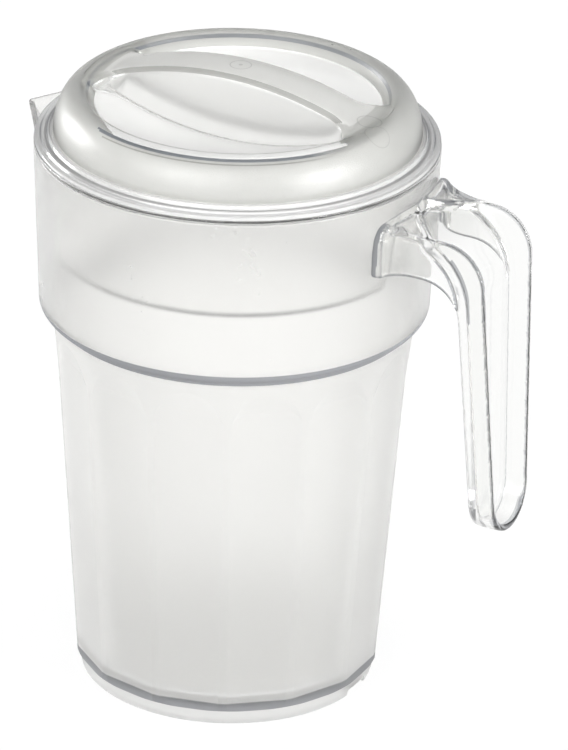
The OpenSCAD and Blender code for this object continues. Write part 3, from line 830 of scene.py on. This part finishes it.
def dress(piece, material, body, node):
    piece.data.materials.clear()
    piece.data.materials.append(material)
    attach(piece, body)
    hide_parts(node)


def finish_faces(piece, material, chosen):
    """Gives the chosen faces another finish, or painted shade."""
    piece.data.materials.append(material)
    last = len(piece.data.materials) - 1
    for face in piece.data.polygons:
        if chosen(face.center / MM, face.normal):
            face.material_index = last


def scuffed_faces(place, normal):
    """The body below the collar, and the step inside it."""
    return place.z < COLLAR_Z + 1.2 * COLLAR_ROUND


def collar_edge_faces(place, normal):
    """The rounding under the collar, outside only."""
    r = math.hypot(place.x, place.y)
    outward = (normal.x * place.x + normal.y * place.y) / r
    edge = COLLAR_Z - 0.2 < place.z < COLLAR_Z + COLLAR_LIFT + COLLAR_ROUND
    return edge and r > BODY_R + 0.3 and outward > -0.5 and normal.z < -0.06


def root_edge_faces(place, normal):
    """The edge of the handle's root along the collar, down the sides and over the top corners."""
    out = abs(place.y) - ROOT_HALF_W
    reach = place.x - math.sqrt(collar_at(place.z) ** 2 - place.y ** 2)
    round_z = ARM_Z - ROOT_ROUND
    corner = math.hypot(out + ROOT_ROUND, place.z - round_z) > ROOT_ROUND - 1.1
    if out > -1.4 or (corner and out > -ROOT_ROUND and place.z > round_z):
        return reach < 2.6
    return reach < 0.7 and normal.z > 0.4 and place.z > ARM_Z - 3


def root_joint_faces(place, normal):
    """The face of the root on the collar, where the plastic runs on."""
    r = math.hypot(place.x, place.y)
    inward = -(normal.x * place.x + normal.y * place.y) / r
    return r < collar_at(place.z) + WELD_GAP + 0.4 and inward > 0.6


def web_edge_faces(place, normal):
    """The end of the web where it runs into the near wall of the grip."""
    reach = math.hypot(place.x - TROUGH_X, place.z - WEB_Z)
    return 13 < -place.y < 17 and 21 < reach < 25.2 and WEB_Z - 4 < place.z < WEB_Z + 17


def polished_faces(place, normal):
    """The wells of the lid."""
    r = math.hypot(place.x, place.y)
    low = place.z < bar_height(r) - 1.25 * BAR_ROUND
    return r < CREST_R - CREST_W - 0.2 and normal.z > -0.05 and (low or normal.z < 0.38)


def bar_side_faces(place, normal):
    """The upright sides of the bar in the wells."""
    return polished_faces(place, normal) and normal.z < 0.45


def flange_faces(place, normal):
    return math.hypot(place.x, place.y) > SHOULDER_R + 0.4


def lip_share(x):
    """How far the clear lip has widened from its narrow end, 0 to 1."""
    return min(max((x - LIP_START_X) / LIP_TAPER, 0), 1)


def lip_faces(place, normal):
    """The top of the crest in front of the near well."""
    reach = math.hypot(place.x, place.y) - CREST_R
    short = 5.1 * (1 - lip_share(place.x))
    top = place.z > BOWL_Z + 9 and normal.z > 0
    return top and -CREST_W - 0.3 < reach < CREST_W - short and place.y < -LIP_SIDE_Y


def lip_edge_faces(place, normal):
    """The dome just outside the clear lip."""
    reach = math.hypot(place.x, place.y) - CREST_R
    return CREST_W <= reach < 6 * lip_share(place.x) and place.y < -LIP_SIDE_Y and normal.z > 0


def bar_top_faces(place, normal):
    r = math.hypot(place.x, place.y)
    high = place.z > bar_height(r) - 1.25 * BAR_ROUND
    return high and normal.z > 0.38 and abs(place.y) < BAR_HALF_W + 0.5 and r < BAR_REACH


def bar_edge_faces(place, normal):
    """The roundings along the bar's top."""
    outside = abs(place.y) > BAR_HALF_W - BAR_ROUND - 0.5
    return outside and normal.z < 0.9 and bar_top_faces(place, normal)


def underside_faces(place, normal):
    """The underside of the lid and the inside of the hollow bar."""
    if math.hypot(place.x, place.y) < SHOULDER_R and normal.z < -0.05:
        return True
    inner_w = BAR_HALF_W - LID_WALL + BAR_DRAFT + 0.1
    bowl = BOWL_Z - LID_WALL + 0.3 + (place.x ** 2 + place.y ** 2) / 232
    top = bar_height(abs(place.x)) - LID_WALL + 0.3
    return abs(place.y) < inner_w and abs(place.x) < BAR_REACH and bowl < place.z < top


# Stage: floor, light and camera.
def make_floor():
    """A pale floor that is nearly white where it is seen and keeps the shadow."""
    start_fresh()
    bpy.ops.mesh.primitive_plane_add(size=60)
    floor = bpy.context.object
    floor.name = "floor"
    material, tree, matt = shader("pale_floor")
    nodes, links = tree.nodes, tree.links
    matt.inputs["Base Color"].default_value = (0.9, 0.9, 0.9, 1)
    matt.inputs["Roughness"].default_value = 0.9
    seen = nodes.new("ShaderNodeLightPath").outputs
    direct = math_node(tree, "MAXIMUM", seen["Is Camera Ray"], seen["Is Glossy Ray"])
    every = math_node(tree, "MAXIMUM", direct, seen["Is Transmission Ray"])
    mix = nodes.new("ShaderNodeMixShader")
    links.new(math_node(tree, "MULTIPLY", every, 0.93), mix.inputs[0])
    links.new(matt.outputs[0], mix.inputs[1])
    links.new(nodes.new("ShaderNodeEmission").outputs[0], mix.inputs[2])
    links.new(mix.outputs[0], nodes["Material Output"].inputs["Surface"])
    floor.data.materials.append(material)


def softbox(name, place, aim, width, height, power):
    light = bpy.data.lights.new(name, "AREA")
    light.shape = "RECTANGLE"
    light.size, light.size_y, light.energy = width, height, power
    lamp = bpy.data.objects.new(name, light)
    bpy.context.collection.objects.link(lamp)
    lamp.location = place
    lamp.rotation_euler = (Vector(aim) - Vector(place)).to_track_quat("-Z", "Y").to_euler()


def make_world():
    """White all round, a little darker overhead, and grey high up behind the pitcher, for its level faces to mirror."""
    world = bpy.data.worlds.new("studio")
    bpy.context.scene.world = world
    world.use_nodes = True
    nodes, links = world.node_tree.nodes, world.node_tree.links
    place = nodes.new("ShaderNodeTexCoord")
    split = nodes.new("ShaderNodeSeparateXYZ")
    ramp = nodes.new("ShaderNodeValToRGB")
    links.new(place.outputs["Generated"], split.inputs[0])
    links.new(split.outputs["Z"], ramp.inputs[0])
    stops = ramp.color_ramp.elements
    stops[0].position, stops[0].color = 0.02, (1, 1, 1, 1)
    stops[1].position, stops[1].color = 0.9, (0.8, 0.8, 0.8, 1)
    middle = stops.new(0.3)
    middle.color = (1, 1, 1, 1)
    toward = nodes.new("ShaderNodeVectorMath")
    toward.operation = "DOT_PRODUCT"
    toward.inputs[1].default_value = Vector((-0.404, 0.808, 0.43)).normalized()
    links.new(place.outputs["Generated"], toward.inputs[0])
    shade = ranged(world.node_tree, toward.outputs["Value"], 0.6, 0.95)
    dim = tint(world.node_tree, ramp.outputs["Color"], shade, (0.3, 0.3, 0.31))
    links.new(dim, nodes["Background"].inputs["Color"])


def make_camera():
    camera = bpy.data.cameras.new("camera")
    camera.lens, camera.sensor_width = 351.5, 36
    eye = bpy.data.objects.new("camera", camera)
    bpy.context.collection.objects.link(eye)
    right = Vector((0.889501, 0.456391, 0.022282))
    up = Vector((-0.213611, 0.372227, 0.903226))
    back = Vector((0.40393, -0.80818, 0.428586))
    turn = Matrix((right, up, back)).transposed().to_4x4()
    eye.matrix_world = Matrix.Translation((1.00025, -1.96309, 1.15091)) @ turn
    camera.clip_start, camera.clip_end = 0.1, 100
    bpy.context.scene.camera = eye


make_camera()
make_world()
make_floor()
softbox("left_softbox", (-2.2, 0.15, 0.4), (0, 0, 0.2), 0.9, 0.5, 27)
softbox("front_softbox", (-0.2, -2.6, 1.2), (0, 0, 0.15), 2.4, 1.3, 49)
softbox("right_softbox", (2.2, -0.3, 0.6), (0, 0, 0.1), 1.0, 0.9, 47)
softbox("top_softbox", (0.2, -0.1, 2.4), (0, 0, 0.2), 2.0, 2.0, 16)

# Finishes of the vessel, and painted shade on it.
base_shade_colour, crest_shade_colour = (0.135, 0.14, 0.155), (0.3, 0.32, 0.36)
milky = (0.998, 0.996, 0.984)
EVERY_R = (0, 100)
# Painted shade: a soft darker cloud over the lower body, a dark band round the base's rounding and a grey band on the
# foot.
vessel_painted_shade_bands = [
    ((0.935, 0.933, 0.92), 20, 43, 30, *EVERY_R),
    (base_shade_colour, FOOT_H + 0.9, 1.7, 0.5, BASE_R - BASE_ROUND + 0.1, EVERY_R[1]),
    ((0.72, 0.72, 0.71), 2.2, 2.6, 0.6, FOOT_R - 1.5, EVERY_R[1]),
]
hazy = plastic("hazy_plastic", milky, 0.26, 0.94, bands=vessel_painted_shade_bands)
hazy_body = plastic("hazy_body_plastic", milky, 0.46, 0.94, bands=vessel_painted_shade_bands)
# Painted shade: a dark, nearly opaque grey on the rounding under the collar.
collar_painted_shade = plastic("collar_painted_shade_plastic", (0.2, 0.205, 0.215), 0.6, 0.1, ior=1.15)

# Finishes of the handle and the ring, and painted shade on the handle.
# Painted shade: thin dark lines along the handle's sharp bends.
edge_painted_shade = ((0.3, 0.31, 0.33), 0.08, 0.18)
# Painted shade: a grey band round the grip's lower end.
grip_end_painted_shade = ((0.45, 0.46, 0.48), GRIP_END_Z + 3, 5, 3, 102.3, 120)
clear = {"roughness": 0.05, "spread": 0.04}
water_clear = plastic("water_clear_plastic", (0.975, 0.978, 0.968), bands=[grip_end_painted_shade], lines=edge_painted_shade, **clear)
# Painted shade: a dark, mostly opaque grey on the root's edge along the collar.
root_painted_shade = plastic("handle_root_painted_shade", (0.2, 0.205, 0.215), 0.6, 0.3, spread=0.05, ior=1.15)
root_joint = plastic("handle_root_joint", (0.99, 0.99, 0.985), ior=1.0, **clear)
# Painted shade: dark-tinted clear plastic where the web runs into the grip's near wall.
web_painted_shade = plastic("handle_web_painted_shade", (0.2, 0.21, 0.23), lines=edge_painted_shade, **clear)

# Finishes of the lid, and painted shade on it.
marks = [
    ((0.3, 0.5, 217.4), 3.5, 0.16),
    ((0.3, 0.5, 217.4), 0, 0.7),
    ((48.8, -2, 208.5), 4.0, 0.18),
    ((54.9, -7.6, 207.4), 4.6, 0.1),
    ((-35.8, 6, 211.7), 2.6, 0.14),
]
# Painted shade: a dark line and a fainter brownish-grey line along the dome in front of the near well.
lip_painted_shade_lines = [
    ((0.16, 0.18, 0.22), 207.4, 0.34, 0.15, 54, 57, 21, 34),
    ((0.4, 0.39, 0.36), 206.4, 0.16, 0.1, 55, 58, 26, 40),
]
# Painted shade: a slate-grey band round the crest's inner edge.
crest_painted_shade = (crest_shade_colour, 207.0, 0.6, 0.3, 49.2, 50.4)
# Painted shade: a dark band round the rim of the wells.
bowl_painted_shade = ((0.2, 0.21, 0.23), 206.2, 0.4, 0.3, 48.2, 50.2)
# Painted shade: a grey band along the skirt's lower edge.
skirt_painted_shade = ((0.36, 0.36, 0.36), SKIRT_LOW_Z, 1.4, 0.4, *EVERY_R)
grainy = {"spread": 0.2, "grain": 2600.0, "bump": 0.25}
# The frosted dome's grey tint is painted shade. It darkens further where the skin turns away, a little for the longer
# path through the plastic and mostly as painted shade.
frosted = {"roughness": 0.3, "transmission": 0.92, "limb": ((0.37, 0.375, 0.345), 0.62, 0.95), **grainy}
frosted_shaded_lid = plastic("frosted_shaded_lid_plastic", (0.825, 0.83, 0.795), bands=[crest_painted_shade], rings=marks, **frosted)
lip_edge = plastic("lip_edge_plastic", (0.825, 0.83, 0.795), bands=lip_painted_shade_lines, **frosted)
bar_top_lid = plastic("frosted_bar_plastic", (0.975, 0.975, 0.945), 0.34, 0.74, rings=marks, **grainy)
# Painted shade: darker where the flange and the clear lip turn away.
flange_limb_shade, lip_limb_shade = ((0.25, 0.26, 0.285), 0.5, 0.85), ((0.22, 0.22, 0.19), 0.6, 0.9)
satin_lid = plastic("satin_flange_plastic", (0.985, 0.985, 0.98), 0.14, 0.7, spread=0.08, limb=flange_limb_shade)
polished_lid = plastic("polished_lid_plastic", (0.995, 0.995, 0.985), 0.12, 0.52, spread=0.06, bands=[bowl_painted_shade])
lip_clear = plastic("clear_lip_plastic", (0.99, 0.99, 0.98), 0.12, 0.62, spread=0.06, limb=lip_limb_shade)
# Painted shade: a dark, half-opaque grey on the roundings along the bar's top.
bar_painted_shade = plastic("bar_painted_shade_plastic", (0.33, 0.33, 0.315), 0.35, 0.35)
bar_side = plastic("bar_side_plastic", (0.985, 0.985, 0.975), 0.2, 0.8, spread=0.08)
clear_lid = plastic("underside_lid_plastic", (0.995, 0.995, 0.99), 0.3)
skirt_clear = plastic("skirt_plastic", (1.0, 1.0, 0.995), 0.14, spread=0.08, bands=[skirt_painted_shade])

# The pieces.
vessel = make_vessel()
dress(vessel, hazy, "pitcher", "vessel")
finish_faces(vessel, hazy_body, scuffed_faces)
finish_faces(vessel, collar_painted_shade, collar_edge_faces)
handle = make_handle()
dress(handle, water_clear, "pitcher", "handle")
handle.visible_shadow = False
finish_faces(handle, root_joint, root_joint_faces)
finish_faces(handle, root_painted_shade, root_edge_faces)
finish_faces(handle, web_painted_shade, web_edge_faces)
bubbles = [
    ((68.6, -4.6, 182.2), 1.0),
    ((69.9, -5.7, 181.7), 0.7),
    ((64.6, -20.4, 181.0), 0.8),
    ((67.0, -19.6, 179.6), 0.6),
]
for i, (place, r) in enumerate(bubbles):
    bubble = make_bubble(f"air_bubble_{i + 1}", place, r)
    bubble.data.materials.append(water_clear)
    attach(bubble, "pitcher")
dress(make_ring(), water_clear, "rim_ring", "rim_ring")
cap = make_lid_cap()
dress(cap, frosted_shaded_lid, "lid", "lid_cap")
for finish, chosen in [
    (polished_lid, polished_faces),
    (bar_side, bar_side_faces),
    (clear_lid, underside_faces),
    (satin_lid, flange_faces),
    (bar_top_lid, bar_top_faces),
    (bar_painted_shade, bar_edge_faces),
    (lip_clear, lip_faces),
    (lip_edge, lip_edge_faces),
]:
    finish_faces(cap, finish, chosen)
dress(make_skirt(), skirt_clear, "lid", "lid_skirt")

view = bpy.context.scene.view_settings
view.view_transform = "Standard"
cycles = bpy.context.scene.cycles
cycles.max_bounces = 32
cycles.transmission_bounces = 32
cycles.glossy_bounces = 8
cycles.sample_clamp_indirect = 5
